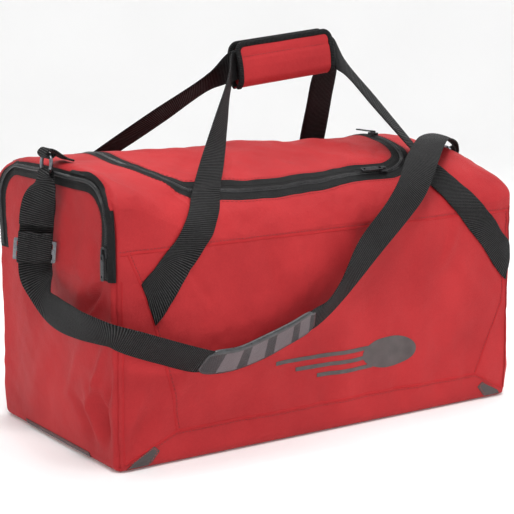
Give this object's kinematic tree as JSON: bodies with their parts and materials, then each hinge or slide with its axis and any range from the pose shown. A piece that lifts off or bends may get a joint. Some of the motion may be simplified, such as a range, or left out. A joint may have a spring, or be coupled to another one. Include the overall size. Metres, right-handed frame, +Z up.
{
  "type": "sports duffel bag",
  "caption": "Soft box-shaped sports holdall with a zipped lid flap, zipped end pocket, joined carry handles with a wrap grip and a padded adjustable shoulder strap.",
  "frame": {"origin": "middle of the flat base, on the surface the bag stands on", "axes": "+X along the bag towards the plain end, -Y towards the printed front, +Z up"},
  "size_m": [0.6604, 0.3429, 0.484],
  "materials": {
    "red_fabric": "plain-woven coated polyester, soft sheen",
    "black_tape": "woven zip tape and folded binding, matte",
    "zip_teeth": "moulded coil, satin",
    "zip_metal": "black lacquer, semi-gloss",
    "black_webbing": "ribbed polyester webbing",
    "ring_metal": "dark nickel",
    "grey_pad": "padded grey fabric with raised glossy bars",
    "base_board": "plain sheet",
    "inner_lining": "plain lining",
    "worn_rubber": "coated wear patch, matte",
    "dark_print": "thin transfer print"
  },
  "bodies": {
    "bag": {"bottom_panel": "red_fabric", "front_panel": "red_fabric", "front_corner_left": "red_fabric", "front_corner_right": "red_fabric", "back_panel": "red_fabric", "back_corner_left": "red_fabric", "back_corner_right": "red_fabric", "left_end_panel": "red_fabric", "right_end_panel": "red_fabric", "top_bridge_left": "red_fabric", "top_bridge_right": "red_fabric", "front_yoke": "red_fabric", "back_yoke": "red_fabric", "main_zip_tape": "black_tape", "pocket_zip_tape": "black_tape", "main_zip_teeth": "zip_teeth", "pocket_zip_teeth": "zip_teeth", "front_handle_anchor_left": "black_webbing", "front_handle_anchor_right": "black_webbing", "back_handle_anchor_left": "black_webbing", "back_handle_anchor_right": "black_webbing", "strap_tab_left": "black_webbing", "strap_tab_right": "black_webbing", "ring_left": "ring_metal", "ring_right": "ring_metal", "base_board": "base_board", "pocket_divider": "inner_lining", "wear_patch_front_left": "worn_rubber", "wear_patch_front_right": "worn_rubber", "wear_patch_back_left": "worn_rubber", "wear_patch_back_right": "worn_rubber", "wear_strip_left": "worn_rubber", "wear_strip_right": "worn_rubber", "front_print": "dark_print"},
    "lid": {"lid_panel": "red_fabric", "lid_zip_tape": "black_tape"},
    "front_handle": {"front_handle_webbing": "black_webbing", "grip_leaf_front": "red_fabric", "grip_binding_front": "black_tape"},
    "grip_flap": {"grip_leaf_back": "red_fabric", "grip_binding_back": "black_tape"},
    "back_handle": {"back_handle_webbing": "black_webbing"},
    "strap": {"shoulder_strap_left": "black_webbing", "shoulder_strap_right": "black_webbing", "shoulder_pad": "grey_pad"},
    "adjuster": {"strap_adjuster": "ring_metal", "strap_stub": "black_webbing"},
    "front_slider": {"main_slider_front": "zip_metal"},
    "front_pull": {"main_pull_front": "zip_metal"},
    "side_slider": {"main_slider_side": "zip_metal"},
    "side_pull": {"main_pull_side": "zip_metal"},
    "pocket_door": {"pocket_flap": "red_fabric", "pocket_flap_tape": "black_tape"},
    "pocket_slider_body": {"pocket_slider": "zip_metal"},
    "pocket_pull_body": {"pocket_pull": "zip_metal"}
  },
  "joints": [
    {"name": "lid_open", "type": "hinge", "parent": "bag", "child": "lid", "pos_m": [0, 0.115, 0.3147], "axis": [-1, 0, 0], "range_deg": [0, 110], "deforming": ["front_handle_webbing", "back_handle_webbing"]},
    {"name": "front_handle_drop", "type": "hinge", "parent": "bag", "child": "front_handle", "pos_m": [-0.168, -0.11745, 0.31342], "axis": [0.9966, 0.0683, 0.0461], "range_deg": [0, 50.05]},
    {"name": "back_handle_drop", "type": "hinge", "parent": "bag", "child": "back_handle", "pos_m": [0.16, 0.11494, 0.311], "axis": [-0.9998, 0.0158, 0.0153], "range_deg": [0, 125.05]},
    {"name": "grip_flap_open", "type": "hinge", "parent": "front_handle", "child": "grip_flap", "pos_m": [0.03, -0.002, 0.427], "axis": [-1, 0, 0], "range_deg": [0, 110]},
    {"name": "strap_swing", "type": "hinge", "parent": "bag", "child": "strap", "pos_m": [-0.3115, -0.014, 0.342], "axis": [-0.998, -0.0162, 0.0614], "range_deg": [0, 30]},
    {"name": "adjuster_slide", "type": "slide", "parent": "strap", "child": "adjuster", "axis": [0.022, -0.1571, 0.9873], "range_m": [-0.009, 0.013]},
    {"name": "front_zip_slide", "type": "slide", "parent": "bag", "child": "front_slider", "axis": [-1, 0, 0], "range_m": [0, 0.215]},
    {"name": "front_pull_lift", "type": "hinge", "parent": "front_slider", "child": "front_pull", "pos_m": [0.1094, -0.10845, 0.31661], "axis": [0, 0.8304, 0.5571], "range_deg": [0, 140]},
    {"name": "side_zip_slide", "type": "slide", "parent": "bag", "child": "side_slider", "axis": [0, 1, 0], "range_m": [0, 0.03]},
    {"name": "side_pull_lift", "type": "hinge", "parent": "side_slider", "child": "side_pull", "pos_m": [0.17533, -0.0054, 0.35032], "axis": [0.9986, 0, -0.0531], "range_deg": [0, 140]},
    {"name": "pocket_zip_slide", "type": "slide", "parent": "bag", "child": "pocket_slider_body", "axis": [0, 0, 1], "range_m": [0, 0.026]},
    {"name": "pocket_pull_lift", "type": "hinge", "parent": "pocket_slider_body", "child": "pocket_pull_body", "pos_m": [-0.3062, -0.135, 0.2514], "axis": [0, 1, 0], "range_deg": [0, 100]},
    {"name": "pocket_open", "type": "hinge", "parent": "bag", "child": "pocket_door", "pos_m": [-0.3, 0, 0.2212], "axis": [0, -1, 0], "range_deg": [0, 1.5]}
  ],
  "couplings": [
    {"joint": "front_handle_drop", "follows": "lid_open", "ratio": 0.4545},
    {"joint": "back_handle_drop", "follows": "lid_open", "ratio": 1.1364}
  ]
}
